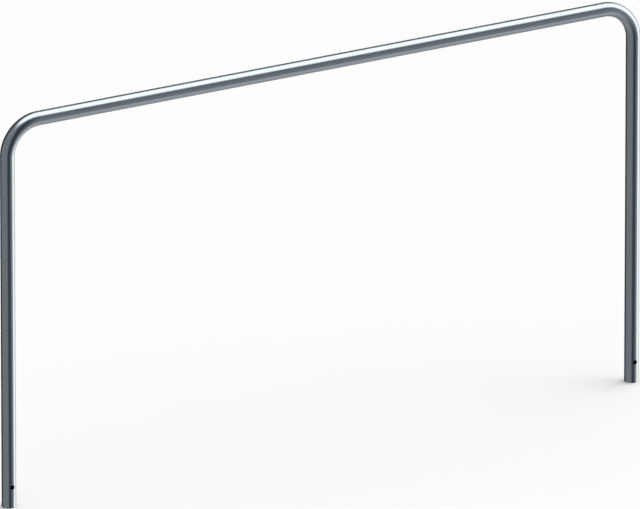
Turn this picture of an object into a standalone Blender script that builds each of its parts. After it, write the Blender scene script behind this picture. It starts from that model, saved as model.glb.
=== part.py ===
"""Steel hoop barrier: five lengths of round tube, joined end to end by four butt welds.

Units are metres and +Z is up. +X runs along the top rail, and the hoop lies in the XZ plane.
The origin is on the line under the two feet, midway between the legs.
Run with: blender --background --python part.py
"""

import math

import bmesh
import bpy
from mathutils import Matrix, Vector

# Overall sizes of the hoop, over the outside of the tube
OVERALL_WIDTH = 2.500
OVERALL_HEIGHT = 1.400

# Tube
TUBE_DIAMETER = 0.050
TUBE_WALL = 0.003
BEND_RADIUS = 0.120
ELBOW_STRAIGHT_END = 0.010

# Hole across each leg, for the bar that anchors it in its concrete
ANCHOR_HOLE_DIAMETER = 0.016
ANCHOR_HOLE_HEIGHT = 0.075

# Butt welds: the ends of the tubes are bevelled, and the weld fills the groove
ROOT_GAP = 0.0020
ROOT_FACE = 0.0010
BEVEL_ANGLE = math.radians(30.0)
ROOT_BEAD = 0.0005
WELD_CLEARANCE = 0.0003

# Facets of the solids, and the angle from which an edge is drawn sharp
SEGMENTS = 36
BEND_STEPS = 15
HOLE_SEGMENTS = 32
SHARP_EDGE = math.radians(25.0)

# Sizes that follow from those above
OUTER_RADIUS = TUBE_DIAMETER / 2
INNER_RADIUS = OUTER_RADIUS - TUBE_WALL
LAND_RADIUS = INNER_RADIUS + ROOT_FACE
LEG_X = OVERALL_WIDTH / 2 - OUTER_RADIUS
RAIL_Z = OVERALL_HEIGHT - OUTER_RADIUS
BEND_CENTRE_X = LEG_X - BEND_RADIUS
BEND_CENTRE_Z = RAIL_Z - BEND_RADIUS
BEND_LENGTH = BEND_RADIUS * math.pi / 2
JOINT_X = BEND_CENTRE_X - ELBOW_STRAIGHT_END
JOINT_Z = BEND_CENTRE_Z - ELBOW_STRAIGHT_END
BEVEL_RUN = (OUTER_RADIUS - LAND_RADIUS) * math.tan(BEVEL_ANGLE)

ALONG_Z = Matrix.Identity(4)
ALONG_X = Matrix.Rotation(math.radians(90.0), 4, "Y")

# Finishes: sRGB colour, metallic, roughness
STEEL = ("satin_steel", (0.70, 0.74, 0.76), 1.0, 0.22)
WELD_METAL = ("dressed_weld", (0.69, 0.72, 0.74), 1.0, 0.25)


def clear_scene():
    """Remove every object, so that the script starts from nothing."""
    for item in list(bpy.data.objects):
        bpy.data.objects.remove(item, do_unlink=True)


def linear(channel):
    """Turn one sRGB channel into the linear value that Blender's shaders take."""
    if channel <= 0.04045:
        return channel / 12.92
    return ((channel + 0.055) / 1.055) ** 2.4


def make_material(node_name, finish):
    """Make a piece's own material from a finish."""
    finish_name, colour, metallic, roughness = finish
    material = bpy.data.materials.new(f"{node_name}_{finish_name}")
    material.use_nodes = True
    shader = material.node_tree.nodes["Principled BSDF"]
    shader.inputs["Base Color"].default_value = (*(linear(channel) for channel in colour), 1.0)
    shader.inputs["Metallic"].default_value = metallic
    shader.inputs["Roughness"].default_value = roughness
    return material


def straight_path(station):
    """Give the matrix of a point on a straight centreline that runs up local Z."""
    return Matrix.Translation((0.0, 0.0, station))


def bend_path(station):
    """Give the matrix of a point on the elbow's centreline, about the elbow's own centre.

    The elbow starts at -X, where it runs up Z, and ends at +Z, where it runs along +X. The bent
    stretch is from 0 to BEND_LENGTH, and the tube runs straight before it and after it.
    """
    bent = min(max(station, 0.0), BEND_LENGTH)
    turn = Matrix.Rotation(bent / BEND_RADIUS, 4, "Y")
    return turn @ Matrix.Translation((-BEND_RADIUS, 0.0, station - bent))


def ring_body(name, path, profile, finish):
    """Carry a closed profile once round the tube's centreline.

    Each point of the profile is a pair: how far along the path, and how far out from the centreline.
    It becomes one ring of vertices, and each ring is joined to the next by a band of faces.
    """
    mesh = bpy.data.meshes.new(name)
    shape = bmesh.new()
    rings = []
    for station, radius in profile:
        ring = bmesh.ops.create_circle(
            shape, cap_ends=False, segments=SEGMENTS, radius=radius, matrix=path(station))
        rings.append(ring["verts"])
    for ring, following in zip(rings, rings[1:] + rings[:1]):
        for index in range(SEGMENTS):
            after = (index + 1) % SEGMENTS
            shape.faces.new((ring[index], ring[after], following[after], following[index]))
    bmesh.ops.recalc_face_normals(shape, faces=shape.faces)
    shape.to_mesh(mesh)
    shape.free()
    mesh.shade_smooth()
    mesh.set_sharp_from_angle(angle=SHARP_EDGE)
    mesh.materials.append(make_material(name, finish))
    return mesh


def bevelled_end(joint, towards_tube):
    """Give an end's three profile points, from the bore outwards, at a welded joint.

    towards_tube is 1 where the tube lies beyond the joint along the path, and -1 where it lies before.
    """
    face = joint + towards_tube * ROOT_GAP / 2
    return [
        (face, INNER_RADIUS),
        (face, LAND_RADIUS),
        (face + towards_tube * BEVEL_RUN, OUTER_RADIUS),
    ]


def square_end(station):
    """Give an end's two profile points, from the bore outwards, where the tube is cut off square."""
    return [(station, INNER_RADIUS), (station, OUTER_RADIUS)]


def leg_mesh(name):
    """Make a leg: cut off square at the foot, bevelled for its weld at the top."""
    profile = square_end(0.0) + bevelled_end(JOINT_Z, -1)[::-1]
    return ring_body(name, straight_path, profile, STEEL)


def rail_mesh(name):
    """Make the top rail, bevelled at both ends and centred on its own length."""
    profile = bevelled_end(-JOINT_X, 1) + bevelled_end(JOINT_X, -1)[::-1]
    return ring_body(name, straight_path, profile, STEEL)


def bend_mesh(name):
    """Make a 90 degree elbow with short straight ends, bevelled for their welds."""
    stations = [BEND_LENGTH * step / BEND_STEPS for step in range(BEND_STEPS + 1)]
    outside = [(station, OUTER_RADIUS) for station in stations]
    inside = [(station, INNER_RADIUS) for station in reversed(stations)]
    start = bevelled_end(-ELBOW_STRAIGHT_END, 1)
    finish = bevelled_end(BEND_LENGTH + ELBOW_STRAIGHT_END, -1)[::-1]
    profile = start + outside + finish + inside
    return ring_body(name, bend_path, profile, STEEL)


def weld_mesh(name):
    """Make a butt weld: it fills the groove, flush outside, with a low bead inside."""
    root = ROOT_GAP / 2 - WELD_CLEARANCE
    cap = root + BEVEL_RUN
    bead_radius = INNER_RADIUS - ROOT_BEAD
    half = [(root, bead_radius), (root, LAND_RADIUS), (cap, OUTER_RADIUS)]
    profile = half + [(-station, radius) for station, radius in reversed(half)]
    return ring_body(name, straight_path, profile, WELD_METAL)


def place(name, mesh, parent, location, rotation=ALONG_Z):
    """Put a piece in the scene, under the hoop's empty."""
    piece = bpy.data.objects.new(name, mesh)
    bpy.context.scene.collection.objects.link(piece)
    piece.parent = parent
    piece.matrix_local = Matrix.Translation(location) @ rotation
    return piece


def drill_leg(leg):
    """Drill the anchor hole through both walls of a leg, square to the hoop's plane."""
    mesh = bpy.data.meshes.new(f"{leg.name}_drill")
    shape = bmesh.new()
    bmesh.ops.create_cone(
        shape, cap_ends=True, segments=HOLE_SEGMENTS,
        radius1=ANCHOR_HOLE_DIAMETER / 2, radius2=ANCHOR_HOLE_DIAMETER / 2,
        depth=2 * TUBE_DIAMETER, matrix=Matrix.Rotation(math.radians(90.0), 4, "X"))
    shape.to_mesh(mesh)
    shape.free()
    drill = place(f"{leg.name}_drill", mesh, leg, Vector((0.0, 0.0, ANCHOR_HOLE_HEIGHT)))
    drill.hide_render = True
    drill.display_type = "WIRE"
    cut = leg.modifiers.new("anchor_hole", "BOOLEAN")
    cut.operation = "DIFFERENCE"
    cut.solver = "EXACT"
    cut.object = drill


def build_side(side, direction, hoop):
    """Build one leg, its elbow and their two welds. direction is -1 on the left and 1 on the right."""
    leg_place = Vector((direction * LEG_X, 0.0, 0.0))
    leg_joint = Vector((direction * LEG_X, 0.0, JOINT_Z))
    rail_joint = Vector((direction * JOINT_X, 0.0, RAIL_Z))
    bend_centre = Vector((direction * BEND_CENTRE_X, 0.0, BEND_CENTRE_Z))
    half_turn = Matrix.Rotation(math.pi, 4, "Z") if direction > 0 else ALONG_Z

    leg = place(f"{side}_leg", leg_mesh(f"{side}_leg"), hoop, leg_place)
    drill_leg(leg)
    place(f"{side}_bend", bend_mesh(f"{side}_bend"), hoop, bend_centre, half_turn)
    place(f"{side}_leg_weld", weld_mesh(f"{side}_leg_weld"), hoop, leg_joint)
    place(f"{side}_rail_weld", weld_mesh(f"{side}_rail_weld"), hoop, rail_joint, ALONG_X)


def build_hoop():
    """Build the whole hoop under one empty at the origin."""
    clear_scene()
    hoop = bpy.data.objects.new("hoop", None)
    bpy.context.scene.collection.objects.link(hoop)
    for side, direction in (("left", -1), ("right", 1)):
        build_side(side, direction, hoop)
    place("top_rail", rail_mesh("top_rail"), hoop, Vector((0.0, 0.0, RAIL_Z)), ALONG_X)


build_hoop()
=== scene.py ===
"""Steel hoop barrier: the looks of the welded tube hoop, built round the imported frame.

The frame gives every place and most sizes. One Geometry Nodes tree turns, drills and bends each length of
tube and each weld, and the pieces ride on the frame's single body. Units are metres, and +Z is up.
"""

import logging
import math
from dataclasses import dataclass, field
from enum import Enum, IntEnum
from typing import Any, Optional, Union

import bmesh
import bpy
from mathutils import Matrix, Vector

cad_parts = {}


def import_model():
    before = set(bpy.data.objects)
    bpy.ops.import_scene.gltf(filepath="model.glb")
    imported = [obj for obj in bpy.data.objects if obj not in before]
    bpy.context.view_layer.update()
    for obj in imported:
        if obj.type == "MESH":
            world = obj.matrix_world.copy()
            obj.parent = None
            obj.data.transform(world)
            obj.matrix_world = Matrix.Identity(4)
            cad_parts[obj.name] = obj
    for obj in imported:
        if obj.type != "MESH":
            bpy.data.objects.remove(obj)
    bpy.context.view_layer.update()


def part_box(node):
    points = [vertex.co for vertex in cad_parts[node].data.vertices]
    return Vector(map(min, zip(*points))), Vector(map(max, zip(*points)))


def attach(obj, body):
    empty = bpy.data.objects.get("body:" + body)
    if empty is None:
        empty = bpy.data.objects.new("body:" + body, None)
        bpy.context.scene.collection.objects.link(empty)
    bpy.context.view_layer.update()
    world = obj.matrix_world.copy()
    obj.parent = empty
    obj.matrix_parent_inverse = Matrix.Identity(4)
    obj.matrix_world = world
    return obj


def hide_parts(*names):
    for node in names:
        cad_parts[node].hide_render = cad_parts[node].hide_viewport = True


LOG = logging.getLogger("hoop_barrier")
BODY = "root"
MM = 0.001

Socket = bpy.types.NodeSocket
Value = Union[float, int, bool, str, tuple, Vector, Socket, bpy.types.Material, bpy.types.Object]
ProfilePoint = tuple[float, float]


def linear(hex_colour: str) -> tuple[float, float, float, float]:
    """Turn an sRGB hex colour into the linear colour that shaders take.

    Args:
        hex_colour: Six hex digits after a hash, such as "#8a9099".

    Returns:
        Linear red, green and blue, and an alpha of 1.
    """
    channels = [int(hex_colour[place:place + 2], 16) / 255 for place in (1, 3, 5)]
    red, green, blue = (
        channel / 12.92 if channel <= 0.04045 else ((channel + 0.055) / 1.055) ** 2.4
        for channel in channels
    )
    return red, green, blue, 1.0


def add_node(tree: bpy.types.NodeTree, kind: str, values: dict[Union[str, int], Value],
             **settings: Any) -> bpy.types.Node:
    """Add a node with its settings, and set or link its inputs.

    Args:
        tree: The node tree that the node goes into.
        kind: The node's Blender type name.
        values: Each input's name, or its number where inputs share one, with a value or the socket
            that feeds it.
        settings: The node's own properties, set before its inputs.

    Returns:
        The new node.
    """
    node = tree.nodes.new(kind)
    for name, setting in settings.items():
        setattr(node, name, setting)
    for key, value in values.items():
        if isinstance(value, Socket):
            tree.links.new(value, node.inputs[key])
        else:
            node.inputs[key].default_value = value
    return node


class Attribute(str, Enum):
    """Names of the attributes that carry a piece's own pattern space into its material."""

    TUBE_SPACE = "tube_space"
    FROM_WELD = "from_weld"


class Slot(str, Enum):
    """The record's material slots."""

    STEEL = "steel"
    WELD = "weld"


class MixInput(IntEnum):
    """Numbers of the Mix node's inputs, which share their names."""

    SHARE = 0
    FIRST_NUMBER = 2
    SECOND_NUMBER = 3
    FIRST_COLOUR = 6
    SECOND_COLOUR = 7


class MixOutput(IntEnum):
    """Numbers of the Mix node's outputs, which share one name."""

    NUMBER = 0
    COLOUR = 2


class Way(Enum):
    """Which way a run of tube goes from its start, as Euler angles that turn +Z that way.

    A bend leads from up towards +X, and towards -X where it is turned round.
    """

    UP = (0.0, 0.0, 0.0)
    ACROSS = (0.0, math.pi / 2, 0.0)
    UP_TURNED_ROUND = (0.0, 0.0, math.pi)


@dataclass(frozen=True)
class HoopSizes:
    """Sizes of the hoop. The frame gives the places, and the rest are the maker's own.

    Attributes:
        outer_radius: Outside radius of the tube.
        leg_x: Distance of each leg's centreline from the hoop's middle.
        rail_z: Height of the rail's centreline.
        leg_top: Height of a leg's welded end.
        rail_end: Distance of the rail's welded ends from the hoop's middle.
        wall: Thickness of the tube's wall.
        root_face: Width of the square face at the root of a welded end.
        root_gap: Distance between two welded ends.
        bevel_angle: Slope of a welded end's bevel.
        straight_end: Length of the straight stretch at each end of an elbow.
        deburr: Width of the broken edges of a sawn end.
    """

    outer_radius: float
    leg_x: float
    rail_z: float
    leg_top: float
    rail_end: float
    wall: float = 3 * MM
    root_face: float = 1 * MM
    root_gap: float = 2 * MM
    bevel_angle: float = math.radians(30)
    straight_end: float = 10 * MM
    deburr: float = 0.8 * MM

    @classmethod
    def from_frame(cls) -> "HoopSizes":
        """Read the sizes from the boxes of the frame's nodes.

        Returns:
            The hoop's sizes.
        """
        leg_low, leg_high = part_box("right_leg")
        rail_low, rail_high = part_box("top_rail")
        return cls(
            outer_radius=(leg_high.x - leg_low.x) / 2,
            leg_x=(leg_high.x + leg_low.x) / 2,
            rail_z=(rail_high.z + rail_low.z) / 2,
            leg_top=leg_high.z,
            rail_end=rail_high.x,
        )

    @property
    def inner_radius(self) -> float:
        """Radius of the bore."""
        return self.outer_radius - self.wall

    @property
    def land_radius(self) -> float:
        """Radius where the square root face of a welded end turns into its bevel."""
        return self.inner_radius + self.root_face

    @property
    def bevel_run(self) -> float:
        """Length along the tube that the bevel of a welded end takes."""
        return (self.outer_radius - self.land_radius) * math.tan(self.bevel_angle)

    @property
    def joint_z(self) -> float:
        """Height of the middle of the weld at the top of a leg."""
        return self.leg_top + self.root_gap / 2

    @property
    def joint_x(self) -> float:
        """Distance of the middle of the rail's welds from the hoop's middle."""
        return self.rail_end + self.root_gap / 2

    @property
    def bend_radius(self) -> float:
        """Centreline radius of the elbows."""
        return self.rail_z - self.joint_z - self.straight_end

    @property
    def bend_length(self) -> float:
        """Length of centreline in the bent stretch of an elbow."""
        return self.bend_radius * math.pi / 2


@dataclass(frozen=True)
class AnchorHole:
    """The hole across a leg near its foot, drilled square to the hoop's plane for a 14 mm anchor bar.

    Attributes:
        tube_radius: Outside radius of the tube that it crosses.
        radius: Radius of the hole.
        height: Height of its middle above the foot.
        burr: Width and depth of the broken edge round each mouth.
        steps: Number of facets round it.
        spare: How far the drill stands out of the tube.
        clear: Distance from its middle to the ring of edges below and above it.
    """

    tube_radius: float
    radius: float = 8 * MM
    height: float = 75 * MM
    burr: float = 0.5 * MM
    steps: int = 64
    spare: float = 5 * MM
    clear: float = 16 * MM

    @property
    def zone(self) -> tuple[float, float]:
        """Stations below and above the hole, where rings of edges keep its facets out of the long tube."""
        return self.height - self.clear, self.height + self.clear

    def _ring(self, shape: bmesh.types.BMesh, side: int, radius: float,
              lift: Optional[float]) -> list[bmesh.types.BMVert]:
        """Make one ring of the drill.

        Args:
            shape: The drill's mesh.
            side: -1 for the front mouth, and 1 for the back one.
            radius: The ring's radius.
            lift: How far the ring lies outside the tube's round surface, or None for the flat end.

        Returns:
            The ring's vertices.
        """
        ring = []
        for step in range(self.steps):
            turn = 2 * math.pi * step / self.steps
            aside = radius * math.cos(turn)
            reach = self.tube_radius + self.spare
            if lift is not None:
                reach = math.sqrt(self.tube_radius ** 2 - aside ** 2) + lift
            ring.append(shape.verts.new((aside, side * reach, self.height + radius * math.sin(turn))))
        return ring

    def drill(self) -> bpy.types.Object:
        """Make the drill: it is as wide as the hole, and flares at both mouths to break their edges.

        Returns:
            The drill, along Y, for a tube that stands on the origin.
        """
        shape = bmesh.new()
        flare = self.radius + 2 * self.burr
        plan = [(flare, None), (flare, self.burr), (self.radius, -self.burr)]
        rings = [self._ring(shape, -1, *step) for step in plan]
        rings += [self._ring(shape, 1, *step) for step in reversed(plan)]
        for ring, following in zip(rings, rings[1:]):
            for here in range(self.steps):
                after = (here + 1) % self.steps
                shape.faces.new((ring[here], ring[after], following[after], following[here]))
        for end in (rings[0], rings[-1]):
            shape.faces.new(end)
        bmesh.ops.recalc_face_normals(shape, faces=shape.faces)
        mesh = bpy.data.meshes.new("anchor_drill")
        shape.to_mesh(mesh)
        shape.free()
        drill = bpy.data.objects.new("anchor_drill", mesh)
        bpy.context.scene.collection.objects.link(drill)
        return drill


class TurnedTubeTree:
    """A Geometry Nodes tree that turns a profile round the tube's centreline, drills it and bends it.

    The modifier's own mesh is the profile, a closed loop of edges. Its X is the distance out from the
    reference radius, and its Y is the distance down the centreline, because a circle's sweep turns +Y
    to -Z. A turned body is first made straight, up +Z, and is drilled there where it has a drill. Its
    place there is kept in attributes for the materials. Then it is bent and put in its place.

    Attributes:
        INPUTS: Name and type of each input, past the profile itself.
        tree: The node tree.
        inlet: The sockets that bring the inputs into the tree.
        position: The socket that gives each point's place, wherever it is read.
    """

    INPUTS: tuple[tuple[str, str], ...] = (
        ("Reference Radius", "NodeSocketFloat"),
        ("Sides", "NodeSocketInt"),
        ("Drilled", "NodeSocketBool"),
        ("Drill", "NodeSocketObject"),
        ("First Weld", "NodeSocketFloat"),
        ("Second Weld", "NodeSocketFloat"),
        ("Bend Radius", "NodeSocketFloat"),
        ("Bend Length", "NodeSocketFloat"),
        ("Turn", "NodeSocketVector"),
        ("Place", "NodeSocketVector"),
        ("Bore Limit", "NodeSocketFloat"),
        ("Edge Limit", "NodeSocketFloat"),
        ("Skin", "NodeSocketMaterial"),
        ("Edge", "NodeSocketMaterial"),
        ("Bore", "NodeSocketMaterial"),
    )

    def __init__(self) -> None:
        """Build the tree once, for every piece."""
        self.tree = bpy.data.node_groups.new("turned_tube", "GeometryNodeTree")
        self.tree.is_modifier = True
        self.tree.interface.new_socket("Geometry", in_out="INPUT", socket_type="NodeSocketGeometry")
        for name, kind in self.INPUTS:
            self.tree.interface.new_socket(name, in_out="INPUT", socket_type=kind)
        self.tree.interface.new_socket("Geometry", in_out="OUTPUT", socket_type="NodeSocketGeometry")
        self.inlet = add_node(self.tree, "NodeGroupInput", {}).outputs
        self.position = add_node(self.tree, "GeometryNodeInputPosition", {}).outputs["Position"]
        self._finish(self._bend(self._mark(self._drill(self._turn()))))

    def _turn(self) -> Socket:
        """Turn the profile into a closed straight body.

        Returns:
            The straight body.
        """
        profile = add_node(self.tree, "GeometryNodeMeshToCurve", {"Mesh": self.inlet["Geometry"]})
        circle = add_node(self.tree, "GeometryNodeCurvePrimitiveCircle", {
            "Resolution": self.inlet["Sides"], "Radius": self.inlet["Reference Radius"]}, mode="RADIUS")
        upright = add_node(self.tree, "GeometryNodeSetCurveNormal", {
            "Curve": circle.outputs["Curve"]}, mode="Z_UP")
        body = add_node(self.tree, "GeometryNodeCurveToMesh", {
            "Curve": upright.outputs["Curve"], "Profile Curve": profile.outputs["Curve"]})
        return body.outputs["Mesh"]

    def _drill(self, body: Socket) -> Socket:
        """Cut the drill out of the body, where the piece is drilled.

        Args:
            body: The straight body.

        Returns:
            The body, with its hole where it has one.
        """
        drill = add_node(self.tree, "GeometryNodeObjectInfo", {"Object": self.inlet["Drill"]})
        cut = add_node(self.tree, "GeometryNodeMeshBoolean", {
            "Mesh 1": body, "Mesh 2": drill.outputs["Geometry"]}, operation="DIFFERENCE", solver="EXACT")
        chosen = add_node(self.tree, "GeometryNodeSwitch", {
            "Switch": self.inlet["Drilled"], "False": body, "True": cut.outputs["Mesh"]},
            input_type="GEOMETRY")
        return chosen.outputs["Output"]

    def _mark(self, body: Socket) -> Socket:
        """Keep each point's place in the straight tube, and how far along it the nearest weld is.

        Args:
            body: The straight body.

        Returns:
            The body with both attributes.
        """
        along = add_node(self.tree, "ShaderNodeSeparateXYZ", {"Vector": self.position}).outputs["Z"]
        distances = []
        for weld in ("First Weld", "Second Weld"):
            past = add_node(self.tree, "ShaderNodeMath", {0: along, 1: self.inlet[weld]},
                            operation="SUBTRACT")
            distances.append(add_node(self.tree, "ShaderNodeMath", {0: past.outputs["Value"]},
                                      operation="ABSOLUTE").outputs["Value"])
        nearest = add_node(self.tree, "ShaderNodeMath", dict(enumerate(distances)), operation="MINIMUM")
        placed = add_node(self.tree, "GeometryNodeStoreNamedAttribute", {
            "Geometry": body, "Name": Attribute.TUBE_SPACE.value, "Value": self.position},
            data_type="FLOAT_VECTOR", domain="POINT")
        marked = add_node(self.tree, "GeometryNodeStoreNamedAttribute", {
            "Geometry": placed.outputs["Geometry"], "Name": Attribute.FROM_WELD.value,
            "Value": nearest.outputs["Value"]}, data_type="FLOAT", domain="POINT")
        return marked.outputs["Geometry"]

    def _bend(self, straight: Socket) -> Socket:
        """Bend the straight body about +Y, turn it and put it in its place.

        The stretch of the centreline from 0 to the bend's length is bent, about a point that lies a
        bend radius towards +X. The tube runs straight on at both ends. With no bend length, the
        tube stays straight.

        Args:
            straight: The straight body.

        Returns:
            The body in its place.
        """
        along = add_node(self.tree, "ShaderNodeSeparateXYZ", {"Vector": self.position}).outputs["Z"]
        bent = add_node(self.tree, "ShaderNodeClamp", {
            "Value": along, "Min": 0.0, "Max": self.inlet["Bend Length"]}).outputs["Result"]
        angle = add_node(self.tree, "ShaderNodeMath", {0: bent, 1: self.inlet["Bend Radius"]},
                         operation="DIVIDE").outputs["Value"]
        back = add_node(self.tree, "ShaderNodeCombineXYZ", {"Z": bent}).outputs["Vector"]
        centre = add_node(self.tree, "ShaderNodeCombineXYZ", {
            "X": self.inlet["Bend Radius"]}).outputs["Vector"]
        level = add_node(self.tree, "ShaderNodeVectorMath", {0: self.position, 1: back},
                         operation="SUBTRACT").outputs["Vector"]
        curved = add_node(self.tree, "ShaderNodeVectorRotate", {
            "Vector": level, "Center": centre, "Angle": angle}, rotation_type="Y_AXIS").outputs["Vector"]
        turned = add_node(self.tree, "ShaderNodeVectorRotate", {
            "Vector": curved, "Rotation": self.inlet["Turn"]}, rotation_type="EULER_XYZ").outputs["Vector"]
        placed = add_node(self.tree, "ShaderNodeVectorMath", {0: turned, 1: self.inlet["Place"]},
                          operation="ADD").outputs["Vector"]
        moved = add_node(self.tree, "GeometryNodeSetPosition", {"Geometry": straight, "Position": placed})
        return moved.outputs["Geometry"]

    def _finish(self, body: Socket) -> None:
        """Give the skin, the cut edges and the bore their materials, and end the tree.

        A face is told by its distance from the centreline: the skin lies at the outside radius, the
        bore at the inside one, and every sawn, bevelled or drilled face between them.

        Args:
            body: The body in its place.
        """
        space = add_node(self.tree, "GeometryNodeInputNamedAttribute", {
            "Name": Attribute.TUBE_SPACE.value}, data_type="FLOAT_VECTOR").outputs["Attribute"]
        section = add_node(self.tree, "ShaderNodeVectorMath", {0: space, 1: (1.0, 1.0, 0.0)},
                           operation="MULTIPLY").outputs["Vector"]
        reach = add_node(self.tree, "ShaderNodeVectorMath", {0: section},
                         operation="LENGTH").outputs["Value"]
        smooth = add_node(self.tree, "GeometryNodeSetShadeSmooth", {"Geometry": body})
        real = add_node(self.tree, "GeometryNodeRealizeInstances", {
            "Geometry": smooth.outputs["Geometry"]})
        dressed = add_node(self.tree, "GeometryNodeSetMaterial", {
            "Geometry": real.outputs["Geometry"], "Material": self.inlet["Skin"]})
        for limit, material in (("Edge Limit", "Edge"), ("Bore Limit", "Bore")):
            within = add_node(self.tree, "FunctionNodeCompare", {"A": reach, "B": self.inlet[limit]},
                              data_type="FLOAT", operation="LESS_THAN")
            dressed = add_node(self.tree, "GeometryNodeSetMaterial", {
                "Geometry": dressed.outputs["Geometry"], "Selection": within.outputs["Result"],
                "Material": self.inlet[material]})
        add_node(self.tree, "NodeGroupOutput", {"Geometry": dressed.outputs["Geometry"]})

    def run(self, name: str, profile: list[ProfilePoint], inputs: dict[str, Value]) -> bpy.types.Object:
        """Run the tree on a profile, and return the result as a plain mesh object.

        Args:
            name: The piece's name.
            profile: Pairs of the distance along the centreline and the distance out from it.
            inputs: A value for each of the tree's named inputs.

        Returns:
            The piece, with its modifier gone.
        """
        mesh = bpy.data.meshes.new(f"{name}_profile")
        reference = inputs["Reference Radius"]
        points = [(radius - reference, -station, 0.0) for station, radius in reversed(profile)]
        loop = [(index, (index + 1) % len(points)) for index in range(len(points))]
        mesh.from_pydata(points, loop, [])
        blank = bpy.data.objects.new(f"{name}_blank", mesh)
        bpy.context.scene.collection.objects.link(blank)
        modifier = blank.modifiers.new("turned_tube", "NODES")
        modifier.node_group = self.tree
        for item in self.tree.interface.items_tree:
            if item.in_out == "INPUT" and item.name in inputs:
                modifier[item.identifier] = inputs[item.name]
        graph = bpy.context.evaluated_depsgraph_get()
        result = bpy.data.meshes.new_from_object(blank.evaluated_get(graph))
        bpy.data.objects.remove(blank, do_unlink=True)
        result.name = name
        piece = bpy.data.objects.new(name, result)
        bpy.context.scene.collection.objects.link(piece)
        return piece


@dataclass(frozen=True)
class LinishedSteel:
    """Satin steel: bright welded tube, linished on a fine belt to a smooth grey shine.

    The belt ran along the tube, and its lines follow the tube round the bends. Next to a weld a second
    belt ran round the tube to dress the bead flush, so there the lines turn across. A real belt's lines
    lie 0.1 mm apart. They are drawn coarser, or they wouldn't show, and from a few steps away they only
    soften the edges of what the tube mirrors.

    Attributes:
        steel: The metal's colour.
        cloud: Its colour where the belt pressed less.
        roughness: How far the shine spreads.
        line_pitch: Distance between the belt's lines, as drawn.
        line_length: Length of one line.
        line_detail: How many finer layers the lines have.
        line_harshness: How much the finer layers count.
        cloud_size: Size of the faint patches in the colour.
        cloud_detail: How many finer layers the patches have.
        faint: Strength of the lines where the shine is tightest.
        strong: Strength of the lines where the shine is widest.
        tighter: How much tighter than usual the shine is there.
        wider: How much wider than usual it is there.
        relief: Depth of the lines.
        relief_share: Share of that depth that catches the light.
        dressed: How far from a weld's middle the second belt reached.
    """

    steel: str = "#b4bec3"
    cloud: str = "#afb9be"
    roughness: float = 0.2
    line_pitch: float = 1.0 * MM
    line_length: float = 180 * MM
    line_detail: float = 3.0
    line_harshness: float = 0.6
    cloud_size: float = 45 * MM
    cloud_detail: float = 4.0
    faint: float = 0.3
    strong: float = 0.7
    tighter: float = 0.03
    wider: float = 0.04
    relief: float = 0.012 * MM
    relief_share: float = 0.25
    dressed: float = 14 * MM

    def material(self, name: str) -> bpy.types.Material:
        """Build the finish's material.

        Args:
            name: The material's name.

        Returns:
            A new material.
        """
        material = bpy.data.materials.new(name)
        material.use_nodes = True
        tree = material.node_tree
        shader = tree.nodes["Principled BSDF"]
        space = add_node(tree, "ShaderNodeAttribute", {},
                         attribute_name=Attribute.TUBE_SPACE.value).outputs["Vector"]
        from_weld = add_node(tree, "ShaderNodeAttribute", {},
                             attribute_name=Attribute.FROM_WELD.value).outputs["Fac"]
        near = add_node(tree, "ShaderNodeMapRange", {
            "Value": from_weld, "From Min": self.dressed / 2, "From Max": self.dressed,
            "To Min": 1.0, "To Max": 0.0}, interpolation_type="SMOOTHSTEP").outputs["Result"]
        fine, coarse = 1 / self.line_pitch, 1 / self.line_length
        # The first grain's lines run along the tube, and the second's across it.
        grains = []
        for scale in ((fine, fine, coarse), (coarse, coarse, fine)):
            drawn = add_node(tree, "ShaderNodeVectorMath", {0: space, 1: scale}, operation="MULTIPLY")
            grains.append(add_node(tree, "ShaderNodeTexNoise", {
                "Vector": drawn.outputs["Vector"], "Scale": 1.0, "Detail": self.line_detail,
                "Roughness": self.line_harshness}).outputs["Fac"])
        lines = add_node(tree, "ShaderNodeMix", {
            MixInput.SHARE: near, MixInput.FIRST_NUMBER: grains[0],
            MixInput.SECOND_NUMBER: grains[1]}).outputs[MixOutput.NUMBER]
        clouds = add_node(tree, "ShaderNodeTexNoise", {
            "Vector": space, "Scale": 1 / self.cloud_size, "Detail": self.cloud_detail}).outputs["Fac"]
        colour = add_node(tree, "ShaderNodeMix", {
            MixInput.SHARE: clouds, MixInput.FIRST_COLOUR: linear(self.cloud),
            MixInput.SECOND_COLOUR: linear(self.steel)}, data_type="RGBA")
        gloss = add_node(tree, "ShaderNodeMapRange", {
            "Value": lines, "From Min": self.faint, "From Max": self.strong,
            "To Min": self.roughness - self.tighter, "To Max": self.roughness + self.wider})
        relief = add_node(tree, "ShaderNodeBump", {
            "Strength": self.relief_share, "Distance": self.relief, "Height": lines})
        tree.links.new(colour.outputs[MixOutput.COLOUR], shader.inputs["Base Color"])
        tree.links.new(gloss.outputs["Result"], shader.inputs["Roughness"])
        tree.links.new(relief.outputs["Normal"], shader.inputs["Normal"])
        shader.inputs["Metallic"].default_value = 1.0
        return material


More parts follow.
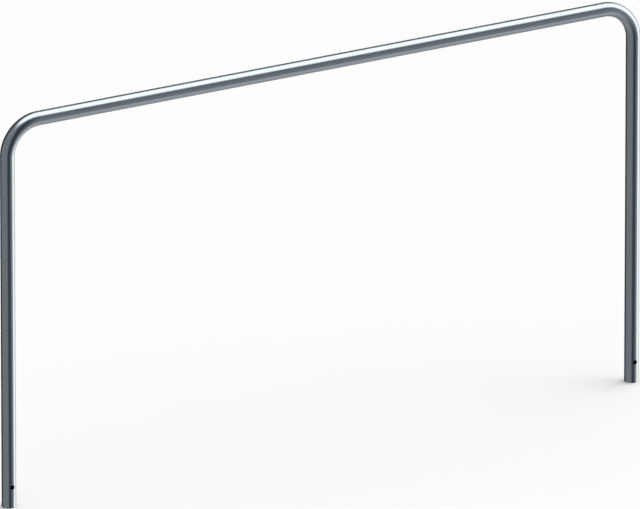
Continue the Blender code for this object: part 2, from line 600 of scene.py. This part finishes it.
@dataclass(frozen=True)
class RawSteelWithPaintedShade:
    """Raw steel: a face that no belt has touched, a little stained, its colour darkened as painted shade.

    Attributes:
        steel: The metal's colour, darkened as painted shade.
        stain: Its colour where it is stained.
        roughness: How far its shine spreads.
        metallic: How far it is bare metal, and not scale.
        patch_size: Size of the stains.
        patch_detail: How many finer layers the stains have.
    """

    steel: str
    stain: str
    roughness: float
    metallic: float
    patch_size: float
    patch_detail: float = 5.0

    def material(self, name: str) -> bpy.types.Material:
        """Build the finish's material.

        Args:
            name: The material's name.

        Returns:
            A new material.
        """
        material = bpy.data.materials.new(name)
        material.use_nodes = True
        tree = material.node_tree
        shader = tree.nodes["Principled BSDF"]
        space = add_node(tree, "ShaderNodeAttribute", {},
                         attribute_name=Attribute.TUBE_SPACE.value).outputs["Vector"]
        stains = add_node(tree, "ShaderNodeTexNoise", {
            "Vector": space, "Scale": 1 / self.patch_size, "Detail": self.patch_detail}).outputs["Fac"]
        colour = add_node(tree, "ShaderNodeMix", {
            MixInput.SHARE: stains, MixInput.FIRST_COLOUR: linear(self.steel),
            MixInput.SECOND_COLOUR: linear(self.stain)}, data_type="RGBA")
        tree.links.new(colour.outputs[MixOutput.COLOUR], shader.inputs["Base Color"])
        shader.inputs["Metallic"].default_value = self.metallic
        shader.inputs["Roughness"].default_value = self.roughness
        return material


@dataclass(frozen=True)
class Finishes:
    """The hoop's finishes, each one material.

    Attributes:
        skin: The tube's outside.
        weld: The dressed welds' outside.
        edge: Sawn, bevelled and drilled faces.
        bore: The tube's inside.
    """

    skin: bpy.types.Material
    weld: bpy.types.Material
    edge: bpy.types.Material
    bore: bpy.types.Material

    @classmethod
    def build(cls) -> "Finishes":
        """Build the four materials.

        Returns:
            The finishes.
        """
        # Filler metal is a shade darker than the tube that it joins, and dresses to the same shine.
        weld = LinishedSteel(steel="#b0b9be", cloud="#abb4b9", line_length=60 * MM)
        # A saw or a drill leaves bare steel. Its faces here are painted a plain dark grey as painted shade,
        # above all the drilled wall inside each hole.
        edge = RawSteelWithPaintedShade(steel="#585b60", stain="#494741", roughness=0.45, metallic=1.0, patch_size=4 * MM)
        # The bore keeps the mill's scale, and its colour is darkened further as painted shade, so that an
        # end or a hole looks into the dark.
        bore = RawSteelWithPaintedShade(steel="#5d5f63", stain="#4a4540", roughness=0.6, metallic=0.8, patch_size=12 * MM)
        return cls(
            skin=LinishedSteel().material("satin_steel"),
            weld=weld.material("dressed_weld"),
            edge=edge.material("sawn_steel_painted_shade"),
            bore=bore.material("mill_bore_painted_shade"),
        )


@dataclass(frozen=True)
class Panel:
    """A soft-edged panel or flag of the studio, so far off that only its direction matters.

    Attributes:
        azimuth: Direction of its middle in degrees, from +Y towards +X.
        elevation: Height of its middle above the horizon, in degrees.
        half_width: Half of its width in degrees, to the middle of its soft edge.
        half_height: Half of its height in degrees, likewise.
        edge: Share of its half sizes over which it fades, to either side.
        colour: Its colour in hex.
        strength: How bright it is, where 1 shows its colour as it is written.
    """

    azimuth: float
    elevation: float
    half_width: float
    half_height: float
    edge: float
    colour: str
    strength: float

    @property
    def axes(self) -> tuple[Vector, Vector, Vector]:
        """The panel's own directions.

        Returns:
            The directions to its right, up, and towards its middle.
        """
        turn, tilt = math.radians(self.azimuth), math.radians(self.elevation)
        towards = Vector((math.sin(turn) * math.cos(tilt), math.cos(turn) * math.cos(tilt), math.sin(tilt)))
        across = Vector((math.cos(turn), -math.sin(turn), 0.0))
        return across, across.cross(towards), towards


@dataclass(frozen=True)
class Studio:
    """A plain pale floor and backdrop in a soft studio, and the camera.

    The tube in the photograph mirrors a studio with a broad softbox overhead, a bright wall to the
    right, and darker flags in front and behind. They stand far off, so they light every stretch of
    tube alike, and they light the floor too. The photographed tube mirrors no white floor, so this
    floor is hidden from the metal.

    Attributes:
        surroundings: Colour of the studio beyond its panels.
        floor_colour: Colour of the floor's paper.
        floor_half: Half of the floor's width.
        backdrop_colour: Colour of the backdrop, as the camera sees it.
        backdrop_reach: How far from the hoop the backdrop stands.
        backdrop_height: Height of the backdrop.
        backdrop_sides: Number of the backdrop's flat sides.
        panels: The panels, laid one over another in this order.
        azimuth: Direction of the camera from its aim in degrees, from -Y towards +X.
        elevation: How far the camera looks down, in degrees.
        distance: How far the camera stands from its aim.
        aim: The point that it looks at.
        lens: Its focal length in millimetres.
        sensor: Width of its sensor in millimetres.
        clip_end: How far the camera sees.
    """

    surroundings: str = "#989a9e"
    floor_colour: str = "#fefefe"
    floor_half: float = 120.0
    backdrop_colour: str = "#fdfdfd"
    backdrop_reach: float = 18.0
    backdrop_height: float = 3.0
    backdrop_sides: int = 96
    panels: tuple[Panel, ...] = (
        Panel(0, -90, 35, 35, 0.7, "#b0b0b0", 1.0),       # pale ground below
        Panel(135, -50, 35, 15, 0.6, "#d0d0d4", 1.0),     # a pale card low in front, to the right
        Panel(80, -10, 45, 35, 0.4, "#f4f2f0", 1.0),      # a white wall to the right
        Panel(-10, 0, 35, 45, 0.15, "#484a4c", 1.0),      # a dark flag behind the hoop
        Panel(185, 5, 20, 40, 0.8, "#404850", 1.0),       # a dark flag in front of it
        Panel(85, 50, 40, 20, 0.9, "#586060", 1.0),       # a dim gap above the wall
        Panel(-160, 60, 40, 5, 0.7, "#b8c0c8", 1.0),      # a narrow strip high in front, to the left
        Panel(105, 15, 20, 45, 0.2, "#fffefd", 2.2),      # a standing softbox at the right
        Panel(95, 65, 30, 50, 0.25, "#fffefd", 2.1),      # a broad softbox overhead
    )
    azimuth: float = -29.828
    elevation: float = 20.063
    distance: float = 72.6315
    aim: tuple[float, float, float] = (-0.0103, 0.0, 0.6868)
    lens: float = 1200.0
    sensor: float = 36.0
    clip_end: float = 220.0

    def build(self) -> None:
        """Build the surroundings, the floor, the backdrop and the camera."""
        self._surroundings()
        self._floor()
        self._backdrop()
        self._camera()
        bpy.context.scene.view_settings.view_transform = "Standard"

    def _surroundings(self) -> None:
        """Lay the panels over the plain surroundings."""
        world = bpy.data.worlds.new("studio")
        bpy.context.scene.world = world
        world.use_nodes = True
        tree = world.node_tree
        tree.nodes.clear()
        direction = add_node(tree, "ShaderNodeTexCoord", {}).outputs["Generated"]
        light = add_node(tree, "ShaderNodeRGB", {}).outputs["Color"]
        light.default_value = linear(self.surroundings)
        for panel in self.panels:
            light = self._lay(tree, direction, light, panel)
        background = add_node(tree, "ShaderNodeBackground", {"Color": light, "Strength": 1.0})
        add_node(tree, "ShaderNodeOutputWorld", {"Surface": background.outputs["Background"]})

    def _lay(self, tree: bpy.types.NodeTree, direction: Socket, light: Socket, panel: Panel) -> Socket:
        """Lay one panel over the light so far.

        Args:
            tree: The surroundings' node tree.
            direction: The direction looked in.
            light: The light so far.
            panel: The panel to lay over it.

        Returns:
            The light with the panel.
        """
        across, up, towards = (
            add_node(tree, "ShaderNodeVectorMath", {0: direction, 1: axis},
                     operation="DOT_PRODUCT").outputs["Value"]
            for axis in panel.axes
        )
        aside = add_node(tree, "ShaderNodeMath", {0: across, 1: towards}, operation="ARCTAN2")
        above = add_node(tree, "ShaderNodeMath", {0: up}, operation="ARCSINE")
        angles = add_node(tree, "ShaderNodeCombineXYZ", {
            "X": aside.outputs["Value"], "Y": above.outputs["Value"]})
        shares = add_node(tree, "ShaderNodeVectorMath", {
            0: angles.outputs["Vector"],
            1: (math.radians(panel.half_width), math.radians(panel.half_height), 1.0)},
            operation="DIVIDE").outputs["Vector"]
        squares = add_node(tree, "ShaderNodeVectorMath", {0: shares, 1: shares}, operation="MULTIPLY")
        reach = add_node(tree, "ShaderNodeVectorMath", {0: squares.outputs["Vector"]}, operation="LENGTH")
        part = add_node(tree, "ShaderNodeMapRange", {
            "Value": reach.outputs["Value"],
            "From Min": (1 + panel.edge) ** 2, "From Max": (1 - panel.edge) ** 2},
            interpolation_type="SMOOTHSTEP")
        colour = Vector(linear(panel.colour)[:3]) * panel.strength
        laid = add_node(tree, "ShaderNodeMix", {
            MixInput.SHARE: part.outputs["Result"], MixInput.FIRST_COLOUR: light,
            MixInput.SECOND_COLOUR: (*colour, 1.0)}, data_type="RGBA")
        return laid.outputs[MixOutput.COLOUR]

    def _floor(self) -> None:
        """Make the floor: matt white paper at the feet's level, hidden from the metal."""
        mesh = bpy.data.meshes.new("floor")
        half = self.floor_half
        corners = [(-half, -half, 0), (half, -half, 0), (half, half, 0), (-half, half, 0)]
        mesh.from_pydata(corners, [], [(0, 1, 2, 3)])
        floor = bpy.data.objects.new("floor", mesh)
        bpy.context.scene.collection.objects.link(floor)
        material = bpy.data.materials.new("matt_paper")
        material.use_nodes = True
        shader = material.node_tree.nodes["Principled BSDF"]
        shader.inputs["Base Color"].default_value = linear(self.floor_colour)
        shader.inputs["Roughness"].default_value = 1.0
        shader.inputs["Specular IOR Level"].default_value = 0.0
        mesh.materials.append(material)
        floor.visible_glossy = False

    def _backdrop(self) -> None:
        """Stand a low ring wall on the floor, for cameras that look level.

        It lights and shades nothing, because only the camera sees it, and only from inside.
        """
        mesh = bpy.data.meshes.new("backdrop")
        count = self.backdrop_sides
        turns = [2 * math.pi * side / count for side in range(count)]
        corners = [(self.backdrop_reach * math.cos(turn), self.backdrop_reach * math.sin(turn), height)
                   for height in (0.0, self.backdrop_height) for turn in turns]
        pairs = [(here, (here + 1) % count) for here in range(count)]
        sides = [(here, here + count, after + count, after) for here, after in pairs]
        mesh.from_pydata(corners, [], sides)
        backdrop = bpy.data.objects.new("backdrop", mesh)
        bpy.context.scene.collection.objects.link(backdrop)
        material = bpy.data.materials.new("lit_paper")
        material.use_nodes = True
        tree = material.node_tree
        tree.nodes.clear()
        paper = add_node(tree, "ShaderNodeEmission", {
            "Color": linear(self.backdrop_colour), "Strength": 1.0})
        clear = add_node(tree, "ShaderNodeBsdfTransparent", {})
        outside = add_node(tree, "ShaderNodeNewGeometry", {}).outputs["Backfacing"]
        one_sided = add_node(tree, "ShaderNodeMixShader", {
            0: outside, 1: paper.outputs["Emission"], 2: clear.outputs["BSDF"]})
        add_node(tree, "ShaderNodeOutputMaterial", {"Surface": one_sided.outputs["Shader"]})
        mesh.materials.append(material)
        for kind in ("diffuse", "glossy", "transmission", "volume_scatter", "shadow"):
            setattr(backdrop, f"visible_{kind}", False)

    def _camera(self) -> None:
        """Set the camera at the photograph's angle, with a long lens, because its lines stay parallel."""
        data = bpy.data.cameras.new("camera")
        camera = bpy.data.objects.new("camera", data)
        bpy.context.scene.collection.objects.link(camera)
        turn, tilt = math.radians(self.azimuth), math.radians(self.elevation)
        back = Vector((math.sin(turn) * math.cos(tilt), -math.cos(turn) * math.cos(tilt), math.sin(tilt)))
        camera.location = Vector(self.aim) + back * self.distance
        camera.rotation_euler = (-back).to_track_quat("-Z", "Y").to_euler()
        data.lens = self.lens
        data.sensor_width = self.sensor
        data.clip_end = self.clip_end
        bpy.context.scene.camera = camera


@dataclass
class WeldedHoop:
    """The hoop: five lengths of tube and four butt welds, each its own piece.

    Attributes:
        sizes: The hoop's sizes.
        hole: The anchor hole in each leg.
        tree: The tree that turns, drills and bends every piece.
        finishes: The materials that the pieces share.
        sides: Number of facets round the tube.
        bend_steps: Number of facets along a bend.
        hair: Clearance between a weld and the tube beside it.
        bead: How far a weld stands out in the bore.
        facet: How near a face's middle lies to the round surface that it belongs to.
        sharp_angle: Angle past which an edge between two faces shows as sharp.
        pieces: The finished pieces.
    """

    sizes: HoopSizes
    hole: AnchorHole
    tree: TurnedTubeTree
    finishes: Finishes
    sides: int = 128
    bend_steps: int = 96
    hair: float = 0.02 * MM
    bead: float = 0.4 * MM
    facet: float = 0.1 * MM
    sharp_angle: float = math.radians(30)
    pieces: list[bpy.types.Object] = field(default_factory=list)

    def build(self) -> None:
        """Build every piece of the hoop."""
        sizes = self.sizes
        drill = self.hole.drill()
        self._rail()
        for side, direction in (("left", -1), ("right", 1)):
            self._leg(side, direction, drill)
            self._elbow(side, direction)
            self._weld(f"{side}_leg_weld", Way.UP, (direction * sizes.leg_x, 0.0, sizes.joint_z))
            self._weld(f"{side}_rail_weld", Way.ACROSS, (direction * sizes.joint_x, 0.0, sizes.rail_z))
        bpy.data.objects.remove(drill, do_unlink=True)

    def _welded_end(self, joint: float, onwards: int) -> list[ProfilePoint]:
        """Give a bevelled end's profile points, from the bore outwards.

        Args:
            joint: Distance along the centreline of the middle of the weld.
            onwards: 1 where the tube lies beyond the joint, and -1 where it lies before it.

        Returns:
            Three points of the profile.
        """
        sizes = self.sizes
        face = joint + onwards * sizes.root_gap / 2
        return [
            (face, sizes.inner_radius),
            (face, sizes.land_radius),
            (face + onwards * sizes.bevel_run, sizes.outer_radius),
        ]

    def _sawn_end(self) -> list[ProfilePoint]:
        """Give the profile points of a foot, from the bore outwards: sawn square, with broken edges.

        Returns:
            Four points of the profile.
        """
        sizes = self.sizes
        return [
            (sizes.deburr, sizes.inner_radius),
            (0.0, sizes.inner_radius + sizes.deburr),
            (0.0, sizes.outer_radius - sizes.deburr),
            (sizes.deburr, sizes.outer_radius),
        ]

    def _make(self, name: str, node: str, slot: Slot, profile: list[ProfilePoint],
              inputs: dict[str, Value]) -> None:
        """Turn, drill, bend and keep one piece.

        Args:
            name: The piece's name.
            node: The frame's node that the piece stands for.
            slot: The record's material slot that it takes its finish from.
            profile: The piece's profile.
            inputs: The tree's inputs that differ from piece to piece.
        """
        sizes = self.sizes
        piece = self.tree.run(name, profile, {
            "Reference Radius": sizes.outer_radius,
            "Sides": self.sides,
            "Bend Radius": sizes.bend_radius,
            "Bore Limit": sizes.inner_radius + self.facet,
            "Edge Limit": sizes.outer_radius - self.facet,
            "Skin": self.finishes.weld if slot is Slot.WELD else self.finishes.skin,
            "Edge": self.finishes.edge,
            "Bore": self.finishes.bore,
            **inputs,
        })
        piece.data.set_sharp_from_angle(angle=self.sharp_angle)
        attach(piece, BODY)
        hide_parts(node)
        self.pieces.append(piece)

    def _leg(self, side: str, direction: int, drill: bpy.types.Object) -> None:
        """Build a leg, from its sawn foot to the weld at its top, with its anchor hole.

        Args:
            side: The side's name, as the frame's nodes have it.
            direction: -1 for the left side, and 1 for the right one.
            drill: The drill that cuts the hole.
        """
        sizes = self.sizes
        below, above = self.hole.zone
        outside = [(below, sizes.outer_radius), (above, sizes.outer_radius)]
        inside = [(above, sizes.inner_radius), (below, sizes.inner_radius)]
        profile = self._sawn_end() + outside + self._welded_end(sizes.joint_z, -1)[::-1] + inside
        self._make(f"{side}_leg_tube", f"{side}_leg", Slot.STEEL, profile, {
            "Drilled": True,
            "Drill": drill,
            "First Weld": sizes.joint_z,
            "Second Weld": sizes.joint_z,
            "Turn": Way.UP.value,
            "Place": (direction * sizes.leg_x, 0.0, 0.0),
        })

    def _rail(self) -> None:
        """Build the top rail, between the two upper welds, with a ring of edges at its middle."""
        sizes = self.sizes
        middle = [(0.0, sizes.outer_radius), (0.0, sizes.inner_radius)]
        start = self._welded_end(-sizes.joint_x, 1)
        finish = self._welded_end(sizes.joint_x, -1)[::-1]
        self._make("top_rail_tube", "top_rail", Slot.STEEL, start + middle[:1] + finish + middle[1:], {
            "First Weld": -sizes.joint_x,
            "Second Weld": sizes.joint_x,
            "Turn": Way.ACROSS.value,
            "Place": (0.0, 0.0, sizes.rail_z),
        })

    def _elbow(self, side: str, direction: int) -> None:
        """Build an elbow, with a ring of edges at every step of its bend.

        Args:
            side: The side's name, as the frame's nodes have it.
            direction: -1 for the left side, and 1 for the right one.
        """
        sizes = self.sizes
        steps = [sizes.bend_length * step / self.bend_steps for step in range(self.bend_steps + 1)]
        outside = [(station, sizes.outer_radius) for station in steps]
        inside = [(station, sizes.inner_radius) for station in reversed(steps)]
        start = self._welded_end(-sizes.straight_end, 1)
        finish = self._welded_end(sizes.bend_length + sizes.straight_end, -1)[::-1]
        way = Way.UP if direction < 0 else Way.UP_TURNED_ROUND
        profile = start + outside + finish + inside
        self._make(f"{side}_bend_elbow", f"{side}_bend", Slot.STEEL, profile, {
            "Bend Length": sizes.bend_length,
            "First Weld": -sizes.straight_end,
            "Second Weld": sizes.bend_length + sizes.straight_end,
            "Turn": way.value,
            "Place": (direction * sizes.leg_x, 0.0, sizes.joint_z + sizes.straight_end),
        })

    def _weld(self, node: str, way: Way, place: tuple[float, float, float]) -> None:
        """Build a butt weld, ground flush, that fills its groove but for a hair's breadth.

        Args:
            node: The frame's node that the weld stands for.
            way: Which way the tube goes there.
            place: Where the weld's middle lies.
        """
        sizes = self.sizes
        root = sizes.root_gap / 2 - self.hair
        cap = root + sizes.bevel_run
        bead_radius = sizes.inner_radius - self.bead
        half = [(root, bead_radius), (root, sizes.land_radius), (cap, sizes.outer_radius)]
        profile = [(-station, radius) for station, radius in half] + half[::-1]
        self._make(f"{node}_bead", node, Slot.WELD, profile, {"Turn": way.value, "Place": place})


def main() -> None:
    """Load the frame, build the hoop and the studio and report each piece."""
    logging.basicConfig(level=logging.INFO, format="%(name)s: %(message)s")
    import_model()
    sizes = HoopSizes.from_frame()
    hoop = WeldedHoop(sizes, AnchorHole(sizes.outer_radius), TurnedTubeTree(), Finishes.build())
    hoop.build()
    for piece in hoop.pieces:
        LOG.info("%s: %d faces", piece.name, len(piece.data.polygons))
    Studio().build()
    bpy.context.view_layer.update()


if __name__ == "__main__":
    main()
